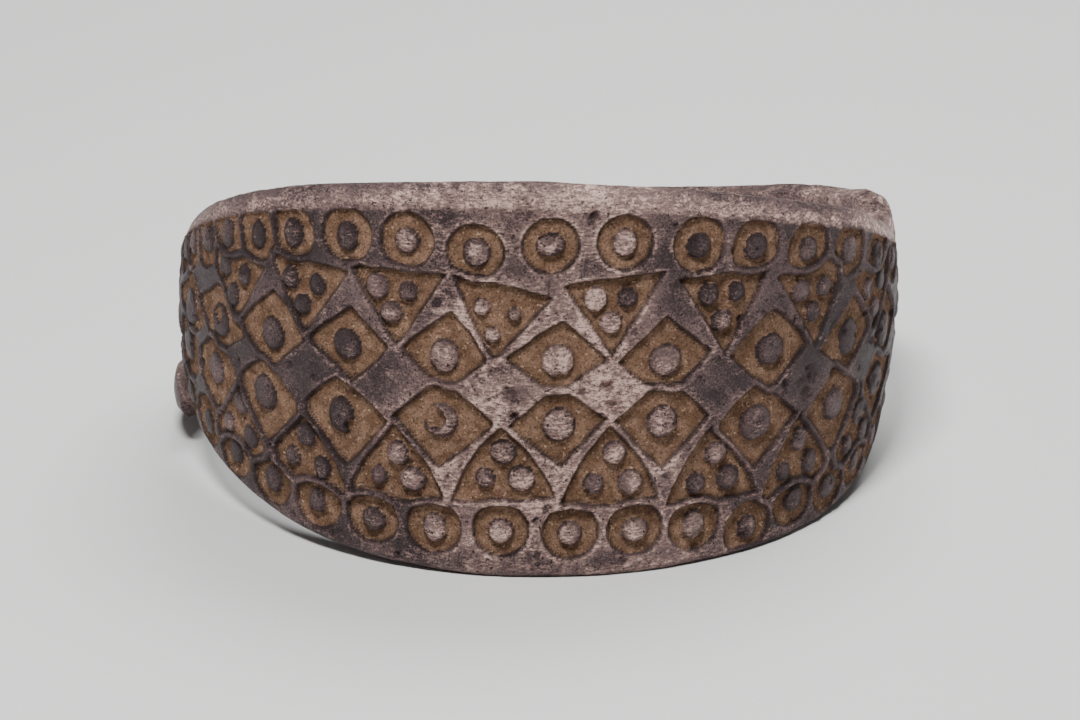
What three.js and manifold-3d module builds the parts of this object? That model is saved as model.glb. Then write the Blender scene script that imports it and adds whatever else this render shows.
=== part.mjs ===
// A heavy silver arm ring: one hammered band, broad and punched all over at the front, that narrows
// towards its two ends. The left end is a flat blunt tongue. The right end is drawn out into a rod that
// passes below the tongue at the back and ends in a thick drop. The ring lies on the lower edge of its
// broad front and on the drop, with its wall leaning back.
// Millimetres, +Z up. The decorated front faces -Y. Angles are in degrees, measured around the ring
// from the front (0) towards +X. The origin is the middle of the footprint, on the surface it lies on.

import * as THREE from 'three';
import { mergeVertices } from 'three/addons/utils/BufferGeometryUtils.js';
import Module from 'manifold-3d';

const OUTER_RADIUS = 35.1;
const SIDE_SWELL = 0.4; // how much farther out both sides stand than the front
const RIGHT_FLARE = 0.07; // outwards on the right side, for each millimetre above its waist
const RIGHT_WAIST = 14;
const FLARE_RISE = [20, 80]; // angles over which the flare comes in
const FLARE_FALL = [100, 150]; // angles over which it goes out again
const WALL = 4.4;
const DROP_OUTWARD = 1.1; // how much farther out the drop stands than the rod
const DROP_TURN_OUT = [236, 264]; // angles over which it moves out
const TONGUE_WALL = 2.6;
const TONGUE_THINNING = [60, 124]; // degrees to the left over which the wall thins
const ROD_TURN = [90, 150]; // angles over which the band's right side becomes the rod
const BULGE = 0.6; // how far the middle of the outer face stands out past its edges
const LEAST_BULGE = 0.1;
const BULGE_PER_WIDTH = 1 / 30; // added to the least bulge where the band is narrow
const FACE_PLACES = [0.28, 0.5, 0.72]; // heights of the outer face's points, as shares of the width
const CROWN = 2.0; // height of the rounded upper rim above the outer face's upper edge
const REAR_CROWN = 0.8; // the same on the right side's rear part and the rod
const CROWN_FALL = [84, 100]; // angles over which it comes down from the one to the other
const MOST_CROWN = 0.37; // as a share of the width, where the band is narrow
const CROWN_POWER = 2.2; // two makes the crown's cut a parabola, and more makes it flatter on top
const LOWER_BEVEL = 0.7; // along the outer face's lower edge
const INNER_BEVEL = 0.5;
const ROD_BEVEL = 1.2;
const MOST_BEVEL = 0.3; // as a share of the width or the wall, whichever is less
const CROWN_PLACES = [1, 0.8, 0.35, -0.35, -0.8, -1]; // across the crown, from its outer to its inner end
const LEAN_BACK = 0.167; // millimetres towards +Y for each millimetre of height

const TONGUE_TIP = -124;
const DROP_TIP = 274.5;
const DROP_BODY_END = 260; // the drop rounds off from here
const DROP_CAP = 16; // degrees from there to where its round cap would close
const STATION_STEP = 4.5; // degrees from one cut to the next
const WELD = 1e-4; // corners closer than this are one

// Heights of the band's upper and lower edges above the surface it lies on, at a few angles around the
// ring. It touches down along the front and under the drop.
const UPPER_EDGE = [
  [-124, 17.6], [-109, 18.6], [-90, 21.6], [-67, 27.9], [-51, 31.7], [-30, 34.8], [0, 36.3],
  [20, 35.2], [40, 32.5], [60, 28.7], [78, 24], [87, 22.1], [103, 22.2], [110, 20.9], [120, 19.5],
  [150, 15.4], [180, 13.3], [215, 11.8], [225, 10.7], [240, 7], [248, 5.8], [260, 6.4], [274.5, 9.2],
];
const LOWER_EDGE = [
  [-124, 15.4], [-109, 12], [-90, 8.4], [-67, 4.6], [-40, 1.4], [-8, 0], [52, 0], [72, 1.8], [90, 5.2],
  [112, 7.8], [135, 10.1], [185, 8.4], [215, 7.2], [230, 5.2], [240, 2], [248, 0], [257, 0],
  [274.5, 3],
];

// The punches: each is an outline sunk into the face, with pellets left standing in it.
const PUNCH_DEPTH = 0.7;
const PITCH = 17; // degrees from one lozenge or triangle to the next
const RING_PITCH = 10.7; // degrees from one ring to the next along an edge
const FULL_PATTERN_REACH = 58; // degrees to each side over which all the rows fit
const MIDDLE_ROW_REACH = 86;
const EDGE_RING_REACH = 84;
const RING_PUNCH = { radius: 2.6, pellet: 1.3, sides: 9 };
const LOZENGE = { width: 8.4, height: 6.8, pellet: 1.5 };
const TRIANGLE = { width: 9.4, height: 7.4, baseShare: 0.4 }; // the share of its height up to its place
const TRIO = { pellet: 1.05, fromBase: 1.68, spread: 1.6, drop: 2.6 }; // the pellets in a triangle
const PELLET_SIDES = 6;
const CUTTER_STAND = 3; // how far a cutter stands out past the face

// The rows: the angle each is counted from, and its height as a share of the outer face's.
const FIRST_LOZENGE = 3;
const UPPER_RINGS = { first: 2, share: 0.905 };
const LOWER_RINGS = { first: 4.5, share: 0.1 };
const DOWN_TRIANGLES = { first: FIRST_LOZENGE + PITCH / 2, share: 0.74 };
const UP_TRIANGLES = { first: FIRST_LOZENGE + PITCH / 2, share: 0.27 };
const UPPER_LOZENGES = { first: FIRST_LOZENGE, share: 0.595 };
const LOWER_LOZENGES = { first: FIRST_LOZENGE, share: 0.41 };
const SIDE_LOZENGES = { first: FIRST_LOZENGE, share: 0.5 };

const silver = new THREE.MeshStandardMaterial({ color: 0x8d7f7a, roughness: 0.5, metalness: 0.85 });

const wasm = await Module();
wasm.setup();

const radians = THREE.MathUtils.degToRad;

function heightAlong(edge, angle) {
  const curve = new THREE.CubicInterpolant(
    edge.map((station) => station[0]),
    edge.map((station) => station[1]),
    1
  );
  return Math.max(0, curve.evaluate(angle)[0]);
}

function lowerEdgeAt(angle) {
  return heightAlong(LOWER_EDGE, angle);
}

// Nought on the band, rising to one where the right side has become a rod.
function rodShare(angle) {
  return THREE.MathUtils.smoothstep(angle, ...ROD_TURN);
}

// One on the body of the drop, falling away around its blunt tip.
function dropRounding(angle) {
  const pastBody = Math.max(0, angle - DROP_BODY_END) / DROP_CAP;
  return Math.sqrt(1 - pastBody * pastBody);
}

function widthAt(angle) {
  return (heightAlong(UPPER_EDGE, angle) - lowerEdgeAt(angle)) * dropRounding(angle);
}

function crownAt(angle) {
  const height = THREE.MathUtils.lerp(CROWN, REAR_CROWN, THREE.MathUtils.smoothstep(angle, ...CROWN_FALL));
  return Math.min(height, MOST_CROWN * widthAt(angle));
}

function wallAt(angle) {
  const thinning = THREE.MathUtils.smoothstep(-angle, ...TONGUE_THINNING);
  return THREE.MathUtils.lerp(WALL, TONGUE_WALL, thinning) * dropRounding(angle);
}

function outerRadiusAt(angle) {
  const outward = DROP_OUTWARD * THREE.MathUtils.smoothstep(angle, ...DROP_TURN_OUT);
  const swell = SIDE_SWELL * Math.sin(radians(angle)) ** 2;
  return OUTER_RADIUS + swell + outward - (WALL / 2) * (1 - dropRounding(angle));
}

// How far out the right side's wall stands at a height, from leaning outwards.
function flareAt(angle, height) {
  const rise = THREE.MathUtils.smoothstep(angle, ...FLARE_RISE);
  const fall = THREE.MathUtils.smoothstep(angle, ...FLARE_FALL);
  return RIGHT_FLARE * (rise - fall) * (height - RIGHT_WAIST);
}

// The outline of a cut across the band: x outwards from the ring's axis, y up. The upper rim is crowned.
function sectionAt(angle) {
  const width = widthAt(angle);
  const wall = wallAt(angle);
  const outer = outerRadiusAt(angle);
  const inner = outer - wall;
  const low = lowerEdgeAt(angle);
  const high = low + width;
  const bulge = Math.min(BULGE, width * BULGE_PER_WIDTH + LEAST_BULGE);
  const bevelLimit = MOST_BEVEL * Math.min(width, wall);
  const bevel = (onBand) => Math.min(bevelLimit, THREE.MathUtils.lerp(onBand, ROD_BEVEL, rodShare(angle)));
  const lower = bevel(LOWER_BEVEL);
  const inside = bevel(INNER_BEVEL);
  const edge = outer - bulge;
  const crown = crownAt(angle);
  const facePoints = FACE_PLACES.map((share) => [outer - bulge * (2 * share - 1) ** 2, low + width * share]);
  const crownPoints = CROWN_PLACES.map((place) => [
    (edge + inner) / 2 + ((edge - inner) / 2) * place,
    high - crown * Math.abs(place) ** CROWN_POWER,
  ]);
  const points = [
    [edge - lower, low],
    [edge, low + lower],
    ...facePoints,
    ...crownPoints,
    [inner, low + width / 2],
    [inner, low + inside],
    [inner + inside, low],
  ];
  return points.map(([radius, height]) => [radius + flareAt(angle, height), height]);
}

function ringPoint(angle, radius, height) {
  return [radius * Math.sin(radians(angle)), -radius * Math.cos(radians(angle)), height];
}

function stationAngles() {
  const steps = Math.round((DROP_TIP - TONGUE_TIP) / STATION_STEP);
  return Array.from({ length: steps + 1 }, (_, i) => TONGUE_TIP + ((DROP_TIP - TONGUE_TIP) * i) / steps);
}

// The band as a closed mesh: sections joined one to the next, and a flat cap at each end.
function bandGeometry() {
  const sections = stationAngles().map((angle) =>
    sectionAt(angle).map(([radius, height]) => ringPoint(angle, radius, height))
  );
  const sides = sections[0].length;
  const index = [];
  for (let i = 0; i + 1 < sections.length; i++) {
    for (let j = 0; j < sides; j++) {
      const a = i * sides + j;
      const b = i * sides + ((j + 1) % sides);
      index.push(a, a + sides, b, b, a + sides, b + sides);
    }
  }
  const last = (sections.length - 1) * sides;
  for (let j = 1; j + 1 < sides; j++) {
    index.push(0, j, j + 1);
    index.push(last, last + j + 1, last + j);
  }
  const geometry = new THREE.BufferGeometry();
  geometry.setAttribute('position', new THREE.Float32BufferAttribute(sections.flat(2), 3));
  geometry.setIndex(index);
  return geometry;
}

function solidFrom(geometry) {
  const bare = geometry.clone();
  bare.deleteAttribute('normal');
  bare.deleteAttribute('uv');
  const merged = mergeVertices(bare, WELD);
  return new wasm.Manifold(
    new wasm.Mesh({
      numProp: 3,
      vertProperties: new Float32Array(merged.attributes.position.array),
      triVerts: new Uint32Array(merged.index.array),
    })
  );
}

function geometryFrom(solid) {
  const mesh = solid.getMesh();
  const geometry = new THREE.BufferGeometry();
  geometry.setAttribute('position', new THREE.Float32BufferAttribute(mesh.vertProperties, 3));
  geometry.setIndex(Array.from(mesh.triVerts));
  return geometry;
}

function polygon(shape, points) {
  shape.setFromPoints(points.map(([x, y]) => new THREE.Vector2(x, y)));
  return shape;
}

function roundOutline(x, y, radius, sides) {
  return Array.from({ length: sides }, (_, i) => {
    const turn = (2 * Math.PI * (i + 0.5)) / sides;
    return [x + radius * Math.cos(turn), y + radius * Math.sin(turn)];
  });
}

function withPellets(outline, pellets) {
  const shape = polygon(new THREE.Shape(), outline);
  shape.holes = pellets.map(([x, y, radius]) =>
    polygon(new THREE.Path(), roundOutline(x, y, radius, PELLET_SIDES))
  );
  return shape;
}

function ringPunch() {
  return withPellets(roundOutline(0, 0, RING_PUNCH.radius, RING_PUNCH.sides), [[0, 0, RING_PUNCH.pellet]]);
}

function lozengePunch() {
  const x = LOZENGE.width / 2;
  const y = LOZENGE.height / 2;
  return withPellets([[x, 0], [0, y], [-x, 0], [0, -y]], [[0, 0, LOZENGE.pellet]]);
}

// A triangle with its point down (direction -1) or up (direction 1) and three pellets.
function trianglePunch(direction) {
  const x = TRIANGLE.width / 2;
  const base = -direction * TRIANGLE.height * TRIANGLE.baseShare;
  const point = base + direction * TRIANGLE.height;
  const outline = [[x, base], [0, point], [-x, base]];
  const baseRow = base + direction * TRIO.fromBase;
  const pellets = [
    [TRIO.spread, baseRow, TRIO.pellet],
    [-TRIO.spread, baseRow, TRIO.pellet],
    [0, baseRow + direction * TRIO.drop, TRIO.pellet],
  ];
  return withPellets(direction > 0 ? outline : outline.reverse(), pellets);
}

// A cutter standing on the outer face at an angle, at a share of the height between the face's edges.
function punchCutter(shape, angle, share) {
  const faceHeight = widthAt(angle) - LOWER_BEVEL - crownAt(angle);
  const height = lowerEdgeAt(angle) + LOWER_BEVEL + faceHeight * share;
  const surface = outerRadiusAt(angle) + flareAt(angle, height) - BULGE * (2 * share - 1) ** 2;
  const depth = PUNCH_DEPTH + CUTTER_STAND;
  const geometry = new THREE.ExtrudeGeometry(shape, { depth, bevelEnabled: false });
  const right = new THREE.Vector3(...ringPoint(angle + 90, 1, 0));
  const up = new THREE.Vector3(0, 0, 1);
  const outward = new THREE.Vector3(...ringPoint(angle, 1, 0));
  const place = new THREE.Matrix4().makeBasis(right, up, outward);
  place.setPosition(...ringPoint(angle, surface - PUNCH_DEPTH, height));
  return solidFrom(geometry.applyMatrix4(place));
}

// Cutters at even steps of angle to both sides of a row's first one, between the two given reaches.
function punchRow(shape, { first, share }, pitch, nearReach, farReach) {
  const cutters = [];
  const steps = Math.ceil(farReach / pitch) + 1;
  for (let i = -steps; i <= steps; i++) {
    const angle = first + i * pitch;
    if (Math.abs(angle) >= nearReach && Math.abs(angle) <= farReach) {
      cutters.push(punchCutter(shape, angle, share));
    }
  }
  return cutters;
}

function punchCutters() {
  const full = FULL_PATTERN_REACH;
  return [
    ...punchRow(ringPunch(), UPPER_RINGS, RING_PITCH, 0, EDGE_RING_REACH),
    ...punchRow(trianglePunch(-1), DOWN_TRIANGLES, PITCH, 0, full),
    ...punchRow(lozengePunch(), UPPER_LOZENGES, PITCH, 0, full),
    ...punchRow(lozengePunch(), LOWER_LOZENGES, PITCH, 0, full),
    ...punchRow(trianglePunch(1), UP_TRIANGLES, PITCH, 0, full),
    ...punchRow(ringPunch(), LOWER_RINGS, RING_PITCH, 0, EDGE_RING_REACH),
    ...punchRow(lozengePunch(), SIDE_LOZENGES, PITCH, full, MIDDLE_ROW_REACH),
  ];
}

function leanBack(geometry) {
  const lean = new THREE.Matrix4().makeShear(0, 0, 0, 0, 0, LEAN_BACK);
  return geometry.applyMatrix4(lean);
}

function centreOnFootprint(geometry) {
  geometry.computeBoundingBox();
  const middle = geometry.boundingBox.getCenter(new THREE.Vector3());
  return geometry.translate(-middle.x, -middle.y, -geometry.boundingBox.min.z);
}

function armRing() {
  const band = solidFrom(bandGeometry());
  const punched = punchCutters().reduce((solid, cutter) => solid.subtract(cutter), band);
  const mesh = new THREE.Mesh(centreOnFootprint(leanBack(geometryFrom(punched))), silver);
  mesh.name = 'arm_ring';
  return mesh;
}

const ring = new THREE.Group();
ring.add(armRing());

export default ring;
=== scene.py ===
# The looks of a heavy silver arm ring: one finely worked mesh for the whole piece, with its punched
# ornament, worn edges that are partly painted highlights, soil, and corner grime that is partly painted
# shade, on a pale floor. Sizes are in millimetres and angles in degrees, measured around the ring from the
# front (0) towards +X, and turn into metres where the mesh is made. A pair of numbers named after a change
# is where it starts and where it is complete.

import math

import bpy
import mathutils
import numpy as np
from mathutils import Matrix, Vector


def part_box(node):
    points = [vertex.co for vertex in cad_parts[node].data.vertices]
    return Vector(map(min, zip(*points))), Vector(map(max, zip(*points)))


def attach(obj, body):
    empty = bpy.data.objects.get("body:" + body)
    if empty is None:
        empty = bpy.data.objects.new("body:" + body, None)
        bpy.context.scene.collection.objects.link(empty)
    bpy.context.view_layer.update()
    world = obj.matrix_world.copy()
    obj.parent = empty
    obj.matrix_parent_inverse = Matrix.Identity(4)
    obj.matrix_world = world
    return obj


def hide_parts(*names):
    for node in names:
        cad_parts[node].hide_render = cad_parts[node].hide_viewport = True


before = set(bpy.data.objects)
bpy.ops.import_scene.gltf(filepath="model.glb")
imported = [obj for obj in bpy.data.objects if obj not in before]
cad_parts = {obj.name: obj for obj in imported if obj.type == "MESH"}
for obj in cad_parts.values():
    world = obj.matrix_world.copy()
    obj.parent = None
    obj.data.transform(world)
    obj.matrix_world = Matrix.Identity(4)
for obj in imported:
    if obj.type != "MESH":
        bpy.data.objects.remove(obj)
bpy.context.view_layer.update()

MM = 0.001
SEED = 7

# The ring's shape, as in the solid, and a hair inside it.
OUTER_RADIUS = 35.0
SIDE_SWELL = 0.4
RIGHT_FLARE = 0.07
RIGHT_WAIST = 14
FLARE_RISE = (20, 80)
FLARE_FALL = (100, 150)
WALL = 4.3
DROP_OUTWARD = 1.1
DROP_TURN_OUT = (236, 264)
DROP_BODY_END = 260
DROP_CAP = 16
TONGUE_WALL = 2.6
TONGUE_THINNING = (60, 124)
ROD_TURN = (90, 150)
BULGE = 0.6
LEAST_BULGE = 0.1
BULGE_PER_WIDTH = 1 / 30
CROWN = 2.0
REAR_CROWN = 0.8
CROWN_FALL = (84, 100)
MOST_CROWN = 0.37  # as a share of the width
CROWN_POWER = 2.2
LOWER_BEVEL = 0.8
INNER_BEVEL = 0.5
ROD_BEVEL = 1.2
MOST_BEVEL = 0.3  # as a share of the width or the wall, whichever is less
LEAN_BACK = 0.167
TONGUE_TIP = -124
DROP_TIP = 274.5
UPPER_EDGE = [
    (-124, 17.6), (-109, 18.6), (-90, 21.6), (-67, 27.9), (-51, 31.7), (-30, 34.8), (0, 36.3),
    (20, 35.2), (40, 32.5), (60, 28.7), (78, 24), (87, 22.1), (103, 22.2), (110, 20.9), (120, 19.5),
    (150, 15.4), (180, 13.3), (215, 11.8), (225, 10.7), (240, 7), (248, 5.8), (260, 6.4), (274.5, 9.2),
]
LOWER_EDGE = [
    (-124, 15.4), (-109, 12), (-90, 8.4), (-67, 4.6), (-40, 1.4), (-8, 0), (52, 0), (72, 1.8),
    (90, 5.2), (112, 7.8), (135, 10.1), (185, 8.4), (215, 7.2), (230, 5.2), (240, 2), (248, 0),
    (257, 0), (274.5, 3),
]

# The mesh: close columns where the ornament is, wide ones elsewhere, with every fourth point.
FINE_REACH = 92
FINE_STEP = 0.36
FINE_FADE = 3
COARSE_STEP = 2.0
COARSE_SHARE = 4
FACE_POINTS = 156
CROWN_POINTS = 10
INNER_POINTS = 7
LOWER_POINTS = 7
SECTION_POINTS = FACE_POINTS + CROWN_POINTS + INNER_POINTS + LOWER_POINTS

# Noise: how many lattice places there are before it repeats, an offset that keeps them above nought, how
# far its layers stand apart, and what their sum is divided by.
NOISE_TABLE = 256
NOISE_OFFSET = 512
LAYER_SHIFT = (3.7, -2.9)
LAYER_TOTAL = 1.6

# Unevenness of the whole surface: depth, size of its features, seed and layers of noise.
HAMMERING = (0.13, 8.0, 40, 2)
RIPPLES = (0.03, 1.1, 50, 3)
CROWN_PITS = (0.09, 0.9, 60, 3)
SURFACE_SINK = 0.08

# The punches: half sizes about their main pellet, how far below the face the soil in them lies, the share
# by which it fills them up more at the sides, and how far their walls spread. A rib of at least RIB stays
# between two hollows.
PUNCH_DEPTH = 0.56
SIDE_FILL = 0.4
SIDE_FILL_RISE = (25, 60)
WALL_TOP = 0.04
WALL_SLOPE = 0.24
RIB = 0.4
LIP = 0.07
LIP_REACH = 0.16
STAMP_REACH = 7.5
RING_SIZE = (2.8, 2.58)
RING_PELLET = 1.32
LOZENGE_PELLET = 1.74
UPPER_LOZENGE_CORNERS = [(0.1, -3.4), (4.8, 0.2), (0.4, 4.1), (-4.9, 0.2)]
LOWER_LOZENGE_CORNERS = [(0.2, -4.5), (5.1, 0.0), (-0.2, 3.8), (-4.9, -0.1)]
TRIANGLE_SIZE = (5.05, 7.5)
DOWN_BOWS = [0.2, 0.0, 0.0]
UP_BOWS = [0.15, 0.55, 0.55]

# How unevenly the punches are cut and struck, as standard deviations. LOZENGE_BOW has its mean first.
LOZENGE_WOBBLE = 0.18
LOZENGE_BOW = (0.1, 0.14)
TRIANGLE_WOBBLE = 0.2
RING_TURN = 0.12
LOZENGE_TURN = 0.05
TRIANGLE_TURN = 0.03
SHARE_WOBBLE = 0.005

# A pellet's unevenness, as standard deviations and the least and most heights, and its shape: a shoulder
# between two shares of its radius, and a dome on a low drum, in shares of the punch's depth.
PELLET_NUDGE = 0.08
PELLET_WOBBLE = 0.07
PELLET_HEIGHTS = (0.9, 1.08)
PELLET_RAGGED = 0.05
PELLET_CELL = 0.9
PELLET_SHOULDER = (1.05, 0.8)
PELLET_DRUM = 0.5
PELLET_DOME = 0.9
DOME_POWER = 0.8
BITE_RAGGED = 0.15
BITE_CELL = 0.6

# Noise over one stamp: the size of its features, and what is added to the stamp's own seed. Below them
# are the amounts that it swings about, and how far.
OUTLINE_CHIPS = (1.2, 0)
LIP_UNEVENNESS = (1.6, 2)
BED_GRAIN = (0.7, 5)
EDGE_PATCHES = (1.1, 7)
GRIME_AND_SHADE_PATCHES = (1.8, 9)
PELLET_SEED_STEP = 11
BITE_SEED_STEP = 3
LIP_MEAN = 0.8
EDGE_MEAN = 0.6
EDGE_SWING = 0.9
GRIME_AND_SHADE_MEAN = 0.7
GRIME_AND_SHADE_SWING = 0.6

# How rough the outline and the bed of a recess are, and how far the bed rises towards the walls.
OUTLINE_ROUGHNESS = 0.08
BED_ROUGHNESS = 0.07
BED_RISE = 0.08
BED_RISE_STRETCH = (-1.1, -0.3)

# What a stamp paints: soil up to its walls and off its pellets, rubbed edges that are partly painted
# highlights, and grime in the corners that is partly painted shade. The edges and the grime have a middle, in
# distance to the outline or in height, and a reach.
SOIL_STRETCH = (-0.08, -0.26)
PELLET_BARE = (0.12, 0.38)
# Rubbed edges that are partly painted highlights.
RUBBED_EDGE_AND_HIGHLIGHT = (0.14, 0.12)
# Grime with painted shade along the top of each wall and round the foot of each pellet.
WALL_GRIME_AND_SHADE = (-0.2, 0.12)
PELLET_GRIME_AND_SHADE = (0.3, 0.24)
TONE_SPREAD = 0.17
DOME_SHADE = 0.3  # how much brighter a pellet is for each unit of height above DOME_MIDDLE
DOME_MIDDLE = 1.1
TONE_STRETCH = (0.2, 0.6)

# How worn the bare metal is, from nought to one, in each part, and the angles where it is so. The same map
# also holds painted light: lighter at the front and darker towards the sides as the light falls off, painted
# highlights on the arris and the rear right crown, and a painted shade band below the upper rings.
PLAIN_WEAR = -0.02
# Partly wear and partly painted light: the metal is lighter at the front and darker towards the sides.
FRONT_WEAR_AND_LIGHT = 0.32
FRONT_MIDDLE = 4
FRONT_REACH = 30
CROWN_WEAR = 0.28
# Partly wear and partly a painted highlight along the arris.
ARRIS_WEAR_AND_HIGHLIGHT = 0.36
SOLE_WEAR = 0.15
# Partly wear and partly a painted highlight on the rear right crown.
REAR_RIGHT_WEAR_AND_HIGHLIGHT = 0.25
REAR_RIGHT_RISE = (50, 75)
REAR_RIGHT_FALL = (110, 130)
BACK_WEAR = 0.16
BACK_RISE = (90, 120)
PATCH_WEAR = 0.2
PATCH_NOISE = (6.0, 70, 3)
SIDE_PATCHES = 0.4  # what is left of the patches away from the front
SIDE_RUB = 0.5  # and of the rubbed edges
CROWN_BLEND = 3  # points of the section over which the crown's share comes in and goes out
ARRIS_REACH = 1.5
SOLE_BLEND = 4
# Painted shade: a darker band at the foot of the upper row of rings, where shadow falls.
BELOW_RIM_SHADE = 0.14
BELOW_RIM_PLACE = (0.85, 0.04)  # share of the face's height, and reach

# Edges that stand above what is round them, by a blur over so many points, are rubbed.
STANDING_BLUR = 4
STANDING_GAIN = 1.5
STANDING_LIMIT = 0.2
# Rubbed rims of the hollows, which are partly painted highlights.
EDGE_RUB_AND_HIGHLIGHT = 0.3

# The most that any place is worn or brightened by painted light, so that even the brightest keeps its
# streaks.
MOST_WEAR_AND_PAINTED_LIGHT = 0.84

# The pellets in a triangle: across and up from the middle of its height, and radius.
DOWN_PELLETS = [(-1.95, 1.85, 1.2), (1.2, 1.75, 1.05), (-0.4, -0.45, 1.12)]
UP_PELLETS = [(-1.7, -1.65, 1.0), (1.8, -1.65, 1.28), (0.2, 0.95, 1.22)]
WORN_DOWN_PELLETS = [(-1.8, 1.2, 0.85), (1.3, 1.25, 0.65), (-0.45, -1.1, 0.75)]

# The rows of punches, each counted from its first one, left (below nought) and right. A side has so many
# more, the first so many degrees away, and each step closes up a little on the last. The row's height is a
# share of the way up the outer face, at the front and at the sides.
ROWS = {
    "upper_rings": {"first": 2, "left": (10, 11.9, 0.33), "right": (8, 11.6, 0.13), "shares": (0.9, 0.93)},
    "lower_rings": {"first": 5, "left": (9, 10.9, 0.12), "right": (8, 10.2, 0.09), "shares": (0.11, 0.09)},
    "upper_triangles": {"first": -6, "left": (3, 16.2, 0), "right": (4, 18, 0), "shares": (0.71, 0.725)},
    "lower_triangles": {"first": -5.5, "left": (3, 17.2, 0.33), "right": (4, 16.8, 0), "shares": (0.3, 0.26)},
    "upper_lozenges": {"first": 3, "left": (5, 17.9, 0.58), "right": (5, 18.2, 0.3), "shares": (0.59, 0.6)},
    "lower_lozenges": {"first": 3, "left": (6, 18.7, 0.67), "right": (4, 16.4, 0), "shares": (0.42, 0.38)},
}
SHARE_CHANGE = (5, 45)

# Punches that stray from their rows: by how many degrees, and how far up.
STRAYS = {
    ("upper_rings", -1): (0, -0.015), ("upper_rings", 1): (0, 0.015), ("upper_triangles", 0): (0, -0.02),
    ("upper_lozenges", 1): (-1, 0), ("upper_lozenges", 3): (2, 0.01), ("lower_rings", 3): (0, -0.04),
    ("lower_lozenges", 3): (1.5, 0), ("upper_rings", -4): (-1, 0), ("upper_rings", 2): (1, 0),
}

# The one triangle whose pellets are worn away and which was struck aslant.
WORN_DOWN_TRIANGLE = ("upper_triangles", 0)
WORN_DOWN_TURN = -0.17

# Bites out of the lozenges' pellets: across, up and radius from the pellet's middle.
LOZENGE_BITES = {
    ("lower_lozenges", -1): (-0.55, 0.15, 1.05),
    ("lower_lozenges", -2): (1.1, -0.8, 0.6),
    ("upper_lozenges", 0): (0.2, -1.6, 0.45),
    ("upper_lozenges", -4): (-0.3, 0.5, 0.8),
}

# How much brighter (or, below nought, darker) than the metal round them some pellets are worn.
PELLET_TONES = {
    ("upper_rings", -2): [0.2], ("upper_rings", -1): [0.12], ("upper_rings", 0): [0.0],
    ("upper_rings", 1): [0.14], ("upper_rings", 2): [-0.25], ("upper_rings", 3): [-0.2],
    ("upper_triangles", -1): [0.1, 0.0, 0.25], ("upper_triangles", 0): [0.12, -0.15, 0.25],
    ("upper_triangles", 1): [0.05, -0.3, 0.2], ("upper_triangles", 2): [-0.25, -0.3, 0.0],
    ("upper_lozenges", -1): [0.2], ("upper_lozenges", 0): [0.27], ("upper_lozenges", 1): [0.12],
    ("lower_lozenges", -1): [0.1], ("lower_lozenges", 0): [0.12], ("lower_lozenges", 1): [0.1],
    ("lower_triangles", -1): [-0.05, 0.25, 0.2], ("lower_triangles", 0): [-0.1, 0.05, -0.1],
    ("lower_triangles", 1): [-0.1, 0.1, 0.2], ("lower_rings", -2): [0.2], ("lower_rings", -1): [0.15],
    ("lower_rings", 0): [0.0], ("lower_rings", 1): [0.1], ("lower_rings", 2): [0.15],
}

# Places rubbed bright or left dark: angle, share of the height, reach and amount.
POLISHED = [
    (11.5, 0.5, 2.6, 0.32), (-7.5, 0.5, 2.0, 0.36), (8, 0.68, 1.3, 0.22), (8, 0.76, 1.2, 0.22),
    (-11, 0.66, 1.3, 0.2), (-13, 0.73, 1.2, 0.2), (11, 0.42, 1.6, 0.2), (-5, 0.41, 1.6, 0.16),
    (-23, 0.5, 2.0, 0.14), (21, 0.76, 2.0, -0.08), (2.5, 0.22, 2.0, 0.06),
    (-14, 0.25, 1.6, 0.2), (20, 0.28, 1.5, 0.2), (-4, 0.96, 1.6, 0.12),
]

# How ragged a rubbed place and a dent are, the size of their features, where they fade, and their seeds.
# They are worked out as far as PLACE_REACH times their own reach.
PLACE_REACH = 2.5
RUB_RAGGED = 0.35
RUB_CELL = 1.3
RUB_FADE = (1.5, 0.5)
RUB_SEEDS = 700
DENT_RAGGED = 0.3
DENT_CELL = 0.7
DENT_FADE = (1.1, 0.4)
DENT_SEEDS = 900

# Small pits and nicks all over: how many, their sizes and how common each is, and least and most values.
DENT_COUNT = 420
DENT_REACH = 88
DENT_SIZES = [0.22, 0.35, 0.6]
DENT_ODDS = [0.6, 0.3, 0.1]
DENT_DEPTHS = (0.1, 0.24)
DENT_STRETCHES = (1, 2.2)
DENT_TURNS = (0, 3.1)

# Larger chips: angle, share of the height, size, depth, how stretched, and turned by how much.
CHIPS = [
    (-4.5, 0.5, 0.7, 0.25, 1.7, 0.2), (11.5, 0.465, 0.6, 0.35, 1.6, -0.3), (-3.5, 0.435, 0.5, 0.4, 1.0, 0.0),
    (8.5, 0.985, 0.5, 0.4, 1.7, 0.8), (10.5, 0.52, 0.3, 0.25, 1.2, 0.5), (-13, 0.33, 0.5, 0.2, 2.0, 1.0),
    (46, 0.48, 1.3, 0.18, 1.5, 0.9), (-36, 0.5, 1.0, 0.15, 1.4, 0.4), (29, 0.47, 0.8, 0.15, 2.0, -0.5),
]

rng = np.random.default_rng(SEED)


def smoothstep(low, high, value):
    t = np.clip((np.asarray(value, float) - low) / (high - low), 0, 1)
    return t * t * (3 - 2 * t)


def mix(a, b, share):
    return a + (b - a) * share


def hump(value, middle, reach):
    """One at the middle, falling smoothly to both sides."""
    return np.exp(-(((value - middle) / reach) ** 2))


# ---------------------------------------------------------------- the ring's plain shape


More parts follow.
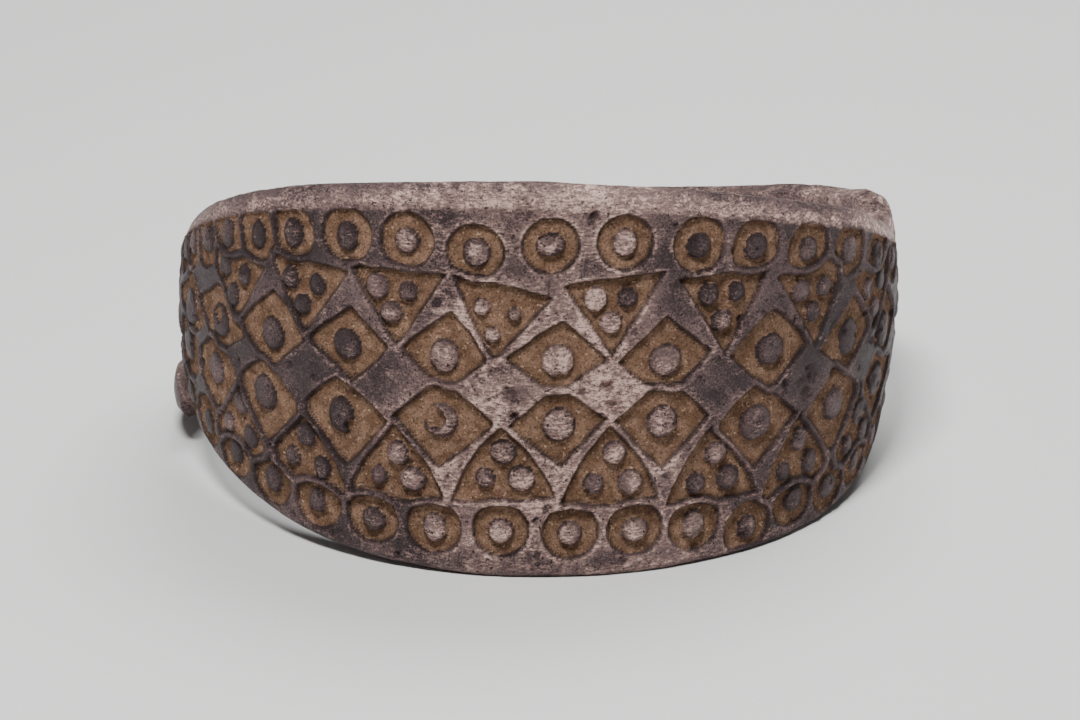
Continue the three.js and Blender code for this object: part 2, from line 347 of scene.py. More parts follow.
def height_along(stations, angles):
    """A smooth curve through the stations, never below the floor."""
    x = np.array([s[0] for s in stations], float)
    y = np.array([s[1] for s in stations], float)
    slope = np.gradient(y, x)
    i = np.clip(np.searchsorted(x, angles) - 1, 0, len(x) - 2)
    span = x[i + 1] - x[i]
    t = (angles - x[i]) / span
    a = (2 * t**3 - 3 * t**2 + 1) * y[i] + (t**3 - 2 * t**2 + t) * span * slope[i]
    b = (3 * t**2 - 2 * t**3) * y[i + 1] + (t**3 - t**2) * span * slope[i + 1]
    return np.maximum(0, a + b)


def lower_edge(angle):
    return height_along(LOWER_EDGE, angle)


def drop_rounding(angle):
    past_body = np.maximum(0, angle - DROP_BODY_END) / DROP_CAP
    return np.sqrt(1 - past_body**2)


def width(angle):
    return (height_along(UPPER_EDGE, angle) - lower_edge(angle)) * drop_rounding(angle)


def crown(angle):
    return np.minimum(mix(CROWN, REAR_CROWN, smoothstep(*CROWN_FALL, angle)), MOST_CROWN * width(angle))


def wall(angle):
    thinning = smoothstep(*TONGUE_THINNING, -angle)
    return mix(WALL, TONGUE_WALL, thinning) * drop_rounding(angle)


def outer_radius(angle):
    outward = DROP_OUTWARD * smoothstep(*DROP_TURN_OUT, angle)
    swell = SIDE_SWELL * np.sin(np.radians(angle)) ** 2
    return OUTER_RADIUS + swell + outward - (WALL / 2) * (1 - drop_rounding(angle))


def flare(angle, height):
    share = smoothstep(*FLARE_RISE, angle) - smoothstep(*FLARE_FALL, angle)
    return RIGHT_FLARE * share * (height - RIGHT_WAIST)


def quarter(start, end, count, across_first):
    """Points of an elliptic quarter from start to end, both left out, going across or up first."""
    turn = np.linspace(0, np.pi / 2, count + 2)[1:-1]
    across = np.sin(turn) if across_first else 1 - np.cos(turn)
    up = 1 - np.cos(turn) if across_first else np.sin(turn)
    (x0, y0), (x1, y1) = start, end
    x = x0[:, None] + (x1 - x0)[:, None] * across
    y = y0[:, None] + (y1 - y0)[:, None] * up
    return np.stack([x, y], -1)


def sections(angle):
    """The outline of the cut across the band at each angle: (columns, points, [radius, height])."""
    w = width(angle)
    low = lower_edge(angle)
    high = low + w
    outer = outer_radius(angle)
    inner = outer - wall(angle)
    bulge = np.minimum(BULGE, w * BULGE_PER_WIDTH + LEAST_BULGE)
    limit = MOST_BEVEL * np.minimum(w, wall(angle))
    rod_share = smoothstep(*ROD_TURN, angle)
    lower = np.minimum(limit, mix(LOWER_BEVEL, ROD_BEVEL, rod_share))
    inside = np.minimum(limit, mix(INNER_BEVEL, ROD_BEVEL, rod_share))
    edge = outer - bulge
    rise = crown(angle)

    share = np.linspace(0, 1, FACE_POINTS)[None, :]
    face_height = mix((low + lower)[:, None], (high - rise)[:, None], share)
    face_radius = outer[:, None] - bulge[:, None] * (2 * share - 1) ** 2
    face = np.stack([face_radius, face_height], -1)

    place = np.cos(np.radians(np.linspace(0, 180, CROWN_POINTS + 2)[1:-1]))
    top_radius = (edge + inner)[:, None] / 2 + (edge - inner)[:, None] / 2 * place
    top_height = high[:, None] - rise[:, None] * np.abs(place) ** CROWN_POWER
    top = np.stack([top_radius, top_height], -1)

    inner_share = np.linspace(0, 1, INNER_POINTS)[None, :]
    inner_height = mix((high - rise)[:, None], (low + inside)[:, None], inner_share)
    inner_face = np.stack([np.broadcast_to(inner[:, None], inner_height.shape), inner_height], -1)

    first = LOWER_POINTS // 2
    turn_in = quarter((inner, low + inside), (inner + inside, low), first, False)
    turn_out = quarter((edge - lower, low), (edge, low + lower), LOWER_POINTS - first - 1, True)
    sole = np.stack([edge - lower, low], -1)[:, None]
    profile = np.concatenate([face, top, inner_face, turn_in, sole, turn_out], axis=1)
    profile[..., 0] += flare(angle[:, None], profile[..., 1])
    return profile


def in_space(angle, profile):
    """Section points set around the ring, before it leans back: (columns, points, 3)."""
    turn = np.radians(angle)[:, None]
    radius = profile[..., 0]
    height = profile[..., 1]
    return np.stack([radius * np.sin(turn), -radius * np.cos(turn), height], -1)


# ---------------------------------------------------------------- noise


def lattice_noise(x, y, cell, seed):
    """Smooth noise from -1 to 1 over the plane, with features about one cell across."""
    table = np.random.default_rng(seed).uniform(-1, 1, (NOISE_TABLE, NOISE_TABLE))
    u = x / cell + NOISE_OFFSET
    v = y / cell + NOISE_OFFSET
    i = np.floor(u).astype(int)
    j = np.floor(v).astype(int)
    fu = smoothstep(0, 1, u - i)
    fv = smoothstep(0, 1, v - j)
    here_i, next_i = i % NOISE_TABLE, (i + 1) % NOISE_TABLE
    here_j, next_j = j % NOISE_TABLE, (j + 1) % NOISE_TABLE
    low = mix(table[here_i, here_j], table[next_i, here_j], fu)
    high = mix(table[here_i, next_j], table[next_i, next_j], fu)
    return mix(low, high, fv)


def rough(x, y, cell, seed, layers=3):
    """Layers of noise, each half as large and as strong as the one before."""
    total = 0
    for k in range(layers):
        shifted = (x + LAYER_SHIFT[0] * k, y + LAYER_SHIFT[1] * k)
        total = total + lattice_noise(*shifted, cell / 2**k, seed + k) / 2**k
    return total / LAYER_TOTAL


# ---------------------------------------------------------------- the ornament


def outline_distance(x, y, corners):
    """Signed distance to a closed outline, negative inside."""
    nearest = np.full(x.shape, np.inf)
    inside = np.zeros(x.shape, bool)
    for (ax, ay), (bx, by) in zip(corners, np.roll(corners, -1, axis=0)):
        ex, ey = bx - ax, by - ay
        px, py = x - ax, y - ay
        t = np.clip((px * ex + py * ey) / (ex * ex + ey * ey), 0, 1)
        nearest = np.minimum(nearest, (px - ex * t) ** 2 + (py - ey * t) ** 2)
        if ey:
            inside ^= ((ay > y) != (by > y)) & (x < ex * (y - ay) / ey + ax)
    return np.where(inside, -1, 1) * np.sqrt(nearest)


def bowed_outline(corners, bows, pieces=6):
    """Corners joined by sides that each bow outwards by their own amount."""
    points = []
    for (a, b), bow in zip(zip(corners, np.roll(corners, -1, axis=0)), bows):
        side = b - a
        outward = np.array([side[1], -side[0]]) / np.hypot(*side)
        for t in np.arange(pieces) / pieces:
            points.append(a + side * t + outward * bow * 4 * t * (1 - t))
    return np.array(points)


def lozenge_distance(corners):
    shaken = np.array(corners) + rng.normal(0, LOZENGE_WOBBLE, (4, 2))
    outline = bowed_outline(shaken, rng.normal(*LOZENGE_BOW, 4))
    return lambda x, y: outline_distance(x, y, outline)


def triangle_distance(direction):
    """Point down (-1) with straight sides, or point up (1) with sides bowed like a pointed arch."""
    half, tall = TRIANGLE_SIZE
    base = -direction * tall / 2
    corners = np.array([[-half, base], [half, base], [0, -base]]) + rng.normal(0, TRIANGLE_WOBBLE, (3, 2))
    if direction < 0:
        corners = corners[[1, 0, 2]]
    outline = bowed_outline(corners, UP_BOWS if direction > 0 else DOWN_BOWS)
    return lambda x, y: outline_distance(x, y, outline)


def ring_distance(x, y):
    a, b = RING_SIZE
    return (np.hypot(x / a, y / b) - 1) * (a + b) / 2


def pellet(x, y, radius, bite=None):
    """A pellet's place, two radii and height, and a bite out of it: (x, y, radius), if it is broken."""
    nudge = rng.normal(0, PELLET_NUDGE, 2)
    wide, high = radius * (1 + rng.normal(0, PELLET_WOBBLE, 2))
    return (x + nudge[0], y + nudge[1], wide, high, rng.uniform(*PELLET_HEIGHTS), bite)


def pellet_height(x, y, spec, seed):
    px, py, wide, high, tall, bite = spec
    far = np.hypot((x - px) / wide, (y - py) / high)
    far = far + PELLET_RAGGED * rough(x, y, PELLET_CELL, seed)
    dome = tall * (PELLET_DRUM + PELLET_DOME * np.clip(1 - far**2, 0, 1) ** DOME_POWER)
    standing = smoothstep(*PELLET_SHOULDER, far) * dome
    if bite:
        across, up, radius = bite
        gap = np.hypot(x - px - across, y - py - up)
        gap = gap + BITE_RAGGED * rough(x, y, BITE_CELL, seed + BITE_SEED_STEP)
        standing = standing * smoothstep(radius - BITE_RAGGED, radius + BITE_RAGGED, gap)
    return standing


class Stamp:
    """One punch mark: the columns it reaches, its own x and y there, its outline and its pellets."""

    def __init__(self, face, place, distance_of, pellets, tones, turn):
        angle, share = place
        self.columns = face.columns_near(angle, STAMP_REACH)
        dx, dy = face.offsets(self.columns, angle, share)
        self.x = dx * math.cos(turn) + dy * math.sin(turn)
        self.y = dy * math.cos(turn) - dx * math.sin(turn)
        self.pellets = pellets
        self.tones = tones
        self.depth = PUNCH_DEPTH * (1 - SIDE_FILL * smoothstep(*SIDE_FILL_RISE, abs(angle)))
        self.seed = int(rng.integers(1, 9999))
        self.distance = distance_of(self.x, self.y) + OUTLINE_ROUGHNESS * self.uneven(OUTLINE_CHIPS)

    def uneven(self, noise):
        cell, seed_step = noise
        return rough(self.x, self.y, cell, self.seed + seed_step)


def keep_ribs(shape, stamps):
    """Draws the stamps' outlines in wherever two meet, so that a thin rib stays between them."""
    nearest = np.full(shape, np.inf)
    second = np.full(shape, np.inf)
    for stamp in stamps:
        here = nearest[stamp.columns]
        second[stamp.columns] = np.minimum(second[stamp.columns], np.maximum(here, stamp.distance))
        nearest[stamp.columns] = np.minimum(here, stamp.distance)
    for stamp in stamps:
        own = stamp.distance <= nearest[stamp.columns]
        other = np.where(own, second[stamp.columns], nearest[stamp.columns])
        stamp.distance = np.maximum(stamp.distance, (stamp.distance - other + RIB) / 2)


class Face:
    """The outer face as maps over (column, point): relief, soil, rubbed edges with painted highlights, and
    corner grime with painted shade.
    """

    def __init__(self, angle, profile):
        self.angle = angle
        self.height = profile[:, :FACE_POINTS, 1]
        self.across = np.radians(angle)[:, None] * OUTER_RADIUS + np.zeros_like(self.height)
        self.relief = np.zeros_like(self.height)
        self.soil = np.zeros_like(self.height)
        self.edges = np.zeros_like(self.height)
        self.grime_and_shade = np.zeros_like(self.height)
        # Painted shade: a darker band at the foot of the upper row of rings.
        below_rim = hump(np.linspace(0, 1, FACE_POINTS), *BELOW_RIM_PLACE)
        self.polish_and_shade = np.zeros_like(self.height) - BELOW_RIM_SHADE * below_rim

    def columns_near(self, angle, reach):
        turn = math.degrees(reach / OUTER_RADIUS)
        return slice(*np.searchsorted(self.angle, [angle - turn, angle + turn]))

    def offsets(self, columns, angle, share):
        """How far each point of those columns is from a place on the face, across and up."""
        middle = np.searchsorted(self.angle, angle)
        height = mix(self.height[middle, 0], self.height[middle, -1], share)
        return self.across[columns] - math.radians(angle) * OUTER_RADIUS, self.height[columns] - height

    def strike(self, stamp):
        standing = self.raise_pellets(stamp)
        inside = smoothstep(WALL_TOP, -WALL_SLOPE, stamp.distance)
        self.sink(stamp, standing, inside)
        self.paint(stamp, standing, inside)

    def raise_pellets(self, stamp):
        """Gives the pellets their tones, and returns how far they stand up from the bed."""
        standing = np.zeros_like(stamp.x)
        for k, (spec, tone) in enumerate(zip(stamp.pellets, stamp.tones)):
            raised = pellet_height(stamp.x, stamp.y, spec, stamp.seed + PELLET_SEED_STEP * k)
            standing = np.maximum(standing, raised)
            shade = tone + DOME_SHADE * (raised - DOME_MIDDLE)
            self.polish_and_shade[stamp.columns] += shade * smoothstep(*TONE_STRETCH, raised)
        return standing

    def sink(self, stamp, standing, inside):
        """Cuts the recess into the relief and raises the lip round it."""
        here = stamp.columns
        bed = BED_ROUGHNESS * stamp.uneven(BED_GRAIN) - stamp.depth
        bed = bed + BED_RISE * smoothstep(*BED_RISE_STRETCH, stamp.distance)
        lip = LIP * hump(stamp.distance, LIP_REACH, LIP_REACH) * (LIP_MEAN + stamp.uneven(LIP_UNEVENNESS))
        sunk = mix(self.relief[here], bed + stamp.depth * standing, inside)
        self.relief[here] = sunk + lip * (1 - inside)

    def paint(self, stamp, standing, inside):
        """Lays soil in the recess, rubs its edge and paints a highlight there, and leaves grime with painted
        shade in its corners.
        """
        here = stamp.columns
        bare = smoothstep(*PELLET_BARE, standing)
        self.soil[here] = mix(self.soil[here], 1 - bare, smoothstep(*SOIL_STRETCH, stamp.distance))
        broken = EDGE_MEAN + EDGE_SWING * stamp.uneven(EDGE_PATCHES)
        # A rubbed edge, partly a painted highlight.
        rubbed_and_painted_light = hump(stamp.distance, *RUBBED_EDGE_AND_HIGHLIGHT) * broken
        self.edges[here] = np.maximum(self.edges[here], np.clip(rubbed_and_painted_light, 0, 1))
        # Grime in the corners, partly painted shade.
        corner = hump(stamp.distance, *WALL_GRIME_AND_SHADE) + hump(standing, *PELLET_GRIME_AND_SHADE) * inside
        patchy = GRIME_AND_SHADE_MEAN + GRIME_AND_SHADE_SWING * stamp.uneven(GRIME_AND_SHADE_PATCHES)
        self.grime_and_shade[here] = np.maximum(self.grime_and_shade[here], np.clip(corner * patchy, 0, 1))

    def rub(self, angle, share, reach, amount):
        here = self.columns_near(angle, PLACE_REACH * reach)
        dx, dy = self.offsets(here, angle, share)
        ragged = RUB_RAGGED * rough(dx, dy, RUB_CELL, int(1 + RUB_SEEDS * share))
        self.polish_and_shade[here] += amount * smoothstep(*RUB_FADE, np.hypot(dx, dy) / reach + ragged)

    def dent(self, angle, share, size, depth, stretch, turn):
        here = self.columns_near(angle, PLACE_REACH * size * stretch)
        dx, dy = self.offsets(here, angle, share)
        x = (dx * math.cos(turn) + dy * math.sin(turn)) / stretch
        y = dy * math.cos(turn) - dx * math.sin(turn)
        ragged = DENT_RAGGED * rough(dx, dy, DENT_CELL, int(1 + DENT_SEEDS * share))
        self.relief[here] -= depth * smoothstep(*DENT_FADE, np.hypot(x, y) / size + ragged)


def row_places(name):
    """The key, angle and share of each punch in a row."""
    row = ROWS[name]
    for number in range(-row["left"][0], row["right"][0] + 1):
        _, pitch, closing = row["left"] if number < 0 else row["right"]
        key = (name, number)
        aside, up = STRAYS.get(key, (0, 0))
        angle = row["first"] + number * (pitch - closing * abs(number)) + aside
        share = mix(*row["shares"], smoothstep(*SHARE_CHANGE, abs(angle))) + up + rng.normal(0, SHARE_WOBBLE)
        yield key, (angle, share)


def tones_of(key, count):
    return PELLET_TONES.get(key, rng.normal(0, TONE_SPREAD, count))


def ring_stamps(face, name):
    for key, place in row_places(name):
        pellets = [pellet(0, -0.1, RING_PELLET)]
        yield Stamp(face, place, ring_distance, pellets, tones_of(key, 1), rng.normal(0, RING_TURN))


def lozenge_stamps(face, name, corners):
    for key, place in row_places(name):
        pellets = [pellet(0, 0, LOZENGE_PELLET, LOZENGE_BITES.get(key))]
        outline = lozenge_distance(corners)
        yield Stamp(face, place, outline, pellets, tones_of(key, 1), rng.normal(0, LOZENGE_TURN))


def triangle_stamps(face, name, direction, specs):
    for key, place in row_places(name):
        worn_down = key == WORN_DOWN_TRIANGLE
        turn = WORN_DOWN_TURN if worn_down else rng.normal(0, TRIANGLE_TURN)
        pellets = [pellet(*spec) for spec in (WORN_DOWN_PELLETS if worn_down else specs)]
        outline = triangle_distance(direction)
        yield Stamp(face, place, outline, pellets, tones_of(key, len(pellets)), turn)


def wear_dents(face):
    for _ in range(DENT_COUNT):
        size = rng.choice(DENT_SIZES, p=DENT_ODDS)
        angle, share = rng.uniform(-DENT_REACH, DENT_REACH), rng.uniform(0, 1)
        depth, stretch = rng.uniform(*DENT_DEPTHS), rng.uniform(*DENT_STRETCHES)
        face.dent(angle, share, size, depth, stretch, rng.uniform(*DENT_TURNS))
    for chip in CHIPS:
        face.dent(*chip)


def blur(values, radius):
    """A box average over the grid, run twice, with the borders repeated."""
    for _ in range(2):
        for axis in (0, 1):
            pad = [(radius + 1, radius) if k == axis else (0, 0) for k in (0, 1)]
            sums = np.cumsum(np.pad(values, pad, mode="edge"), axis=axis)
            size = values.shape[axis]
            ahead = np.take(sums, range(2 * radius + 1, 2 * radius + 1 + size), axis=axis)
            behind = np.take(sums, range(size), axis=axis)
            values = (ahead - behind) / (2 * radius + 1)
    return values


# ---------------------------------------------------------------- the mesh


def fine_angles():
    return np.linspace(-FINE_REACH, FINE_REACH, round(2 * FINE_REACH / FINE_STEP) + 1)


def along_section(profile):
    """Distance along the section from its first point, for noise that runs on over the rims."""
    step = np.hypot(*np.moveaxis(np.diff(profile, axis=1), -1, 0))
    return np.concatenate([np.zeros((len(profile), 1)), np.cumsum(step, axis=1)], axis=1)


def unrolled(angle, profile):
    """Distances around the ring and along the section."""
    around = np.radians(angle)[:, None] * OUTER_RADIUS + np.zeros(profile.shape[:2])
    return around, along_section(profile)


def uneven(place, noise):
    depth, *shape = noise
    return depth * rough(*place, *shape)


def hammering(angle, profile):
    """Shallow unevenness of the whole surface, and the rougher crown."""
    place = unrolled(angle, profile)
    pitted = np.minimum(0, uneven(place, CROWN_PITS)) * crown_share()[None, :]
    return uneven(place, HAMMERING) + uneven(place, RIPPLES) + pitted - SURFACE_SINK


def crown_share():
    """One round the crown and at the face's upper edge, nought elsewhere."""
    place = np.arange(SECTION_POINTS)
    end = FACE_POINTS + CROWN_POINTS
    rise = smoothstep(FACE_POINTS - CROWN_BLEND, FACE_POINTS + 1, place)
    return rise * (1 - smoothstep(end, end + CROWN_BLEND, place))


def arris_share():
    """One just above the outer face's upper edge, nought elsewhere."""
    return hump(np.arange(SECTION_POINTS), FACE_POINTS + 1, ARRIS_REACH)


def sole_share():
    """One round the lower edge, nought elsewhere."""
    place = np.arange(SECTION_POINTS)
    rise = smoothstep(SECTION_POINTS - LOWER_POINTS, SECTION_POINTS - 2, place)
    return smoothstep(SOLE_BLEND, 0, place) + rise


def wear_and_light_of(angle, profile, rubbed_and_painted_light):
    """How worn the bare metal is, from nought to one, with painted light in the same map: most at the front,
    with the sides darker as the light falls off, on rims, with painted highlights at the arris and the rear
    right crown, and on standing edges.
    """
    front = hump(angle, FRONT_MIDDLE, FRONT_REACH)[:, None]
    rear_right = (smoothstep(*REAR_RIGHT_RISE, angle) - smoothstep(*REAR_RIGHT_FALL, angle))[:, None]
    crown_wear_and_highlight = (CROWN_WEAR + REAR_RIGHT_WEAR_AND_HIGHLIGHT * rear_right) * crown_share()
    rims = crown_wear_and_highlight + ARRIS_WEAR_AND_HIGHLIGHT * arris_share() + SOLE_WEAR * sole_share()
    back = BACK_WEAR * smoothstep(*BACK_RISE, np.abs(angle))[:, None]
    patchy = PATCH_WEAR * rough(*unrolled(angle, profile), *PATCH_NOISE) * (SIDE_PATCHES + front)
    worn_and_painted_light = PLAIN_WEAR + FRONT_WEAR_AND_LIGHT * front + patchy + rubbed_and_painted_light * (SIDE_RUB + front) + rims + back
    return np.minimum(worn_and_painted_light, MOST_WEAR_AND_PAINTED_LIGHT)


def normals_of(points):
    """Outward unit normals of a grid whose rows close on themselves."""
    around = np.roll(points, -1, axis=1) - np.roll(points, 1, axis=1)
    along = np.gradient(points, axis=0)
    n = np.cross(along, around)
    return n / np.linalg.norm(n, axis=2, keepdims=True)


def edge_rub_and_painted_light(face):
    """How much the ornament adds to the map of wear and painted light: standing edges, rubbed rims of hollows
    that are partly painted highlights, chosen places, and the painted shade below the upper rings.
    """
    standing = STANDING_GAIN * (face.relief - blur(face.relief, STANDING_BLUR))
    return np.clip(standing, -STANDING_LIMIT, STANDING_LIMIT) + EDGE_RUB_AND_HIGHLIGHT * face.edges + face.polish_and_shade


class Strip:
    """A run of sections with its points and its painted values, thinned or not."""

    def __init__(self, angle, face=None, thin=1):
        profile = sections(angle)
        shift = hammering(angle, profile)
        rubbed_and_painted_light = np.zeros(profile.shape[:2])
        soil = np.zeros(profile.shape[:2])
        grime_and_shade = np.zeros(profile.shape[:2])
        if face is not None:
            fade = smoothstep(FINE_REACH, FINE_REACH - FINE_FADE, np.abs(angle))[:, None]
            shift[:, :FACE_POINTS] += face.relief * fade
            rubbed_and_painted_light[:, :FACE_POINTS] = edge_rub_and_painted_light(face) * fade
            soil[:, :FACE_POINTS] = face.soil * fade
            grime_and_shade[:, :FACE_POINTS] = face.grime_and_shade * fade
        plain = in_space(angle, profile)
        points = plain + normals_of(plain) * shift[..., None]
        self.points = points[:, ::thin]
        self.soil = soil[:, ::thin]
        self.grime_and_shade = grime_and_shade[:, ::thin]
        self.wear_and_painted_light = wear_and_light_of(angle, profile, rubbed_and_painted_light)[:, ::thin]
        self.columns, self.size = self.soil.shape


def ornament(angle):
    face = Face(angle, sections(angle))
    stamps = [
        *triangle_stamps(face, "upper_triangles", -1, DOWN_PELLETS),
        *triangle_stamps(face, "lower_triangles", 1, UP_PELLETS),
        *lozenge_stamps(face, "upper_lozenges", UPPER_LOZENGE_CORNERS),
        *lozenge_stamps(face, "lower_lozenges", LOWER_LOZENGE_CORNERS),
        *ring_stamps(face, "upper_rings"),
        *ring_stamps(face, "lower_rings"),
    ]
    keep_ribs(face.height.shape, stamps)
    for stamp in stamps:
        face.strike(stamp)
    wear_dents(face)
    for place in POLISHED:
        face.rub(*place)
    return face


def strip_faces(first, strip):
    i, j = np.meshgrid(np.arange(strip.columns - 1), np.arange(strip.size), indexing="ij")
    a = first + i * strip.size + j
    b = first + i * strip.size + (j + 1) % strip.size
    return np.stack([a, a + strip.size, b + strip.size, b], -1).reshape(-1, 4).tolist()


def seam_faces(fine, points, coarse, forward):
    """Joins a fine column to a coarse one that has every COARSE_SHARE-th of its points."""
    faces = []
    coarse_points = points // COARSE_SHARE
    for j in range(coarse_points):
        here = coarse + j
        there = coarse + (j + 1) % coarse_points
        run = [fine + (j * COARSE_SHARE + k) % points for k in range(COARSE_SHARE + 1)]
        for a, b in zip(run, run[1:]):
            faces.append([a, here, b] if forward else [a, b, here])
        faces.append([run[-1], here, there] if forward else [run[-1], there, here])
    return faces


def fitted_to_solid(vertices):
    """Leans the ring back and sets it where the solid is, resting on the floor."""
    vertices[:, 1] += LEAN_BACK * vertices[:, 2]
    low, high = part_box("arm_ring")
    middle = (np.array(low) + np.array(high)) / 2 / MM
    own = (vertices.min(0) + vertices.max(0)) / 2
    vertices[:, :2] += middle[:2] - own[:2]
    vertices[:, 2] -= vertices[:, 2].min()
    return vertices * MM


def all_faces(left, fine, right):
    """The faces of the three strips, of the seams between them and of both end caps."""
    at_fine = left.columns * left.size
    at_right = at_fine + fine.columns * fine.size
    at_last = at_right + (right.columns - 1) * right.size
    return [
        *strip_faces(0, left),
        *strip_faces(at_fine, fine),
        *strip_faces(at_right, right),
        *seam_faces(at_fine, fine.size, at_fine - left.size, False),
        *seam_faces(at_right - fine.size, fine.size, at_right, True),
        list(range(left.size)),
        list(range(at_last, at_last + right.size))[::-1],
    ]


def ring_strips():
    fine_angle = fine_angles()
    left_angle = np.arange(TONGUE_TIP, -FINE_REACH, COARSE_STEP)
    right_angle = np.append(np.arange(FINE_REACH + COARSE_STEP, DROP_TIP, COARSE_STEP), DROP_TIP)
    return (
        Strip(left_angle, thin=COARSE_SHARE),
        Strip(fine_angle, ornament(fine_angle)),
        Strip(right_angle, thin=COARSE_SHARE),
    )


def build_ring():
    strips = ring_strips()
    vertices = fitted_to_solid(np.concatenate([s.points.reshape(-1, 3) for s in strips]))
    mesh = bpy.data.meshes.new("arm_ring_worked")
    mesh.from_pydata(vertices.tolist(), [], all_faces(*strips))
    mesh.update()
    for name in ("soil", "wear_and_painted_light", "grime_and_shade"):
        values = np.concatenate([getattr(s, name).reshape(-1) for s in strips])
        mesh.attributes.new(name, "FLOAT", "POINT").data.foreach_set("value", values.astype(np.float32))
    mesh.shade_smooth()
    piece = bpy.data.objects.new("arm_ring_worked", mesh)
    bpy.context.collection.objects.link(piece)
    return piece


# ---------------------------------------------------------------- the material

# Where the map of wear and painted light is low, as towards the sides, the dark tarnish is partly painted
# shade; where it is high, the worn colours are partly painted highlights.
TARNISH_DARK = (0.044, 0.027, 0.029)
TARNISH = (0.190, 0.122, 0.118)
WORN = (0.33, 0.215, 0.190)
WORN_BRIGHT = (0.86, 0.61, 0.53)
SOIL_DARK = (0.060, 0.033, 0.022)
SOIL = (0.220, 0.120, 0.071)
SOIL_PALE = (0.44, 0.265, 0.175)
SOIL_GRIT = (0.62, 0.44, 0.31)
PIT = (0.016, 0.010, 0.010)
# Dark grime in the corners, which also paints the shade that falls there.
GRIME_AND_SHADE = (0.020, 0.012, 0.009)

# Noise through the object: features to the metre, layers, and the strength of each next layer.
BROAD = (160, 4, 0.6)
PATCHES = (620, 6, 0.65)
STREAKS = (1700, 6, 0.75)
GRAIN = (5200, 4, 0.7)
SPECKS = (2600, 4, 0.65)
STREAK_SHAPE = (1.0, 1.0, 2.8)  # streaks lie along the band
NOISE_SPAN = (0.3, 0.7)  # where nearly all of a noise's values lie

# How far up and down each noise swings what it is added to.
LIGHTNESS_GRAIN = 0.16
WEAR_PATCHES = 0.2
WEAR_STREAKS = 0.38
WEAR_GRAIN = 0.14
SOIL_PATCHES = 0.18

# From and to which value each colour comes in.
WEAR_AND_LIGHT_LIGHTENS = 0.35
TARNISH_SPAN = (0.4, 0.86)
WORN_SPAN = (0.3, 0.7)
BRIGHT_SPAN = (0.66, 1.1)
PIT_SPAN = (0.42, 0.34)
MOST_PIT = 0.9
SOIL_PALE_SPAN = (0.35, 0.7)
SOIL_DARK_SPAN = (0.52, 0.36)
MOST_SOIL_DARK = 0.75
GRIT_SPAN = (0.6, 0.68)
SOIL_SPAN = (0.35, 0.65)
MOST_GRIME_AND_SHADE = 0.78

METALLIC_SPAN = (0.2, 0.9)
METALLIC = (0.5, 0.72)  # of tarnished and of worn metal
ROUGHNESS = (0.34, 0.5)  # of the metal, least and most
SOIL_ROUGHNESS = 0.95
SPECULAR = 0.5
SOIL_SPECULAR = 0.15
BUMPS = [("grain", 0.8, 0.1), ("streaks", 0.9, 0.5), ("patches", 0.6, 0.4)]  # noise, strength, height


def node(tree, kind, **settings):
    made = tree.nodes.new(kind)
    for name, value in settings.items():
        setattr(made, name, value)
    return made


def feed(tree, socket, value):
    if isinstance(value, tuple):
        socket.default_value = (*value, 1)
    elif isinstance(value, (int, float)):
        socket.default_value = value
    else:
        tree.links.new(value, socket)


def noise_node(tree, place, scale, detail, roughness):
    made = node(tree, "ShaderNodeTexNoise")
    feed(tree, made.inputs["Scale"], scale)
    feed(tree, made.inputs["Detail"], detail)
    feed(tree, made.inputs["Roughness"], roughness)
    feed(tree, made.inputs["Vector"], place)
    return made.outputs["Fac"]


def ramp(tree, value, low, high, to_low=0.0, to_high=1.0):
    made = node(tree, "ShaderNodeMapRange", interpolation_type="SMOOTHSTEP")
    for name, limit in (("From Min", low), ("From Max", high), ("To Min", to_low), ("To Max", to_high)):
        feed(tree, made.inputs[name], limit)
    feed(tree, made.inputs["Value"], value)
    return made.outputs["Result"]


def swing(tree, value, amount):
    """A noise brought to between minus and plus the amount."""
    return ramp(tree, value, *NOISE_SPAN, -amount, amount)


def maths(tree, operation, a, b):
    made = node(tree, "ShaderNodeMath", operation=operation)
    feed(tree, made.inputs[0], a)
    feed(tree, made.inputs[1], b)
    return made.outputs["Value"]


def blend_colour(tree, share, a, b):
    made = node(tree, "ShaderNodeMix", data_type="RGBA")
    feed(tree, made.inputs["Factor"], share)
    feed(tree, made.inputs[6], a)
    feed(tree, made.inputs[7], b)
    return made.outputs[2]


def blend_number(tree, share, a, b):
    made = node(tree, "ShaderNodeMix", data_type="FLOAT")
    feed(tree, made.inputs["Factor"], share)
    feed(tree, made.inputs[2], a)
    feed(tree, made.inputs[3], b)
    return made.outputs[0]


def bump(tree, height, strength, distance, normal):
    made = node(tree, "ShaderNodeBump")
    feed(tree, made.inputs["Strength"], strength)
    feed(tree, made.inputs["Distance"], distance)
    feed(tree, made.inputs["Height"], height)
    if normal is not None:
        feed(tree, made.inputs["Normal"], normal)
    return made.outputs["Normal"]


def attribute(tree, name):
    return node(tree, "ShaderNodeAttribute", attribute_name=name).outputs["Fac"]


def drawn_out(tree, place):
    made = node(tree, "ShaderNodeVectorMath", operation="MULTIPLY")
    feed(tree, made.inputs[0], place)
    made.inputs[1].default_value = STREAK_SHAPE
    return made.outputs["Vector"]


def add(tree, first, *others):
    total = first
    for other in others:
        total = maths(tree, "ADD", total, other)
    return total


def surface_noises(tree):
    place = node(tree, "ShaderNodeTexCoord").outputs["Object"]
    return {
        "broad": noise_node(tree, place, *BROAD),
        "patches": noise_node(tree, place, *PATCHES),
        "streaks": noise_node(tree, drawn_out(tree, place), *STREAKS),
        "grain": noise_node(tree, place, *GRAIN),
        "specks": noise_node(tree, place, *SPECKS),
    }


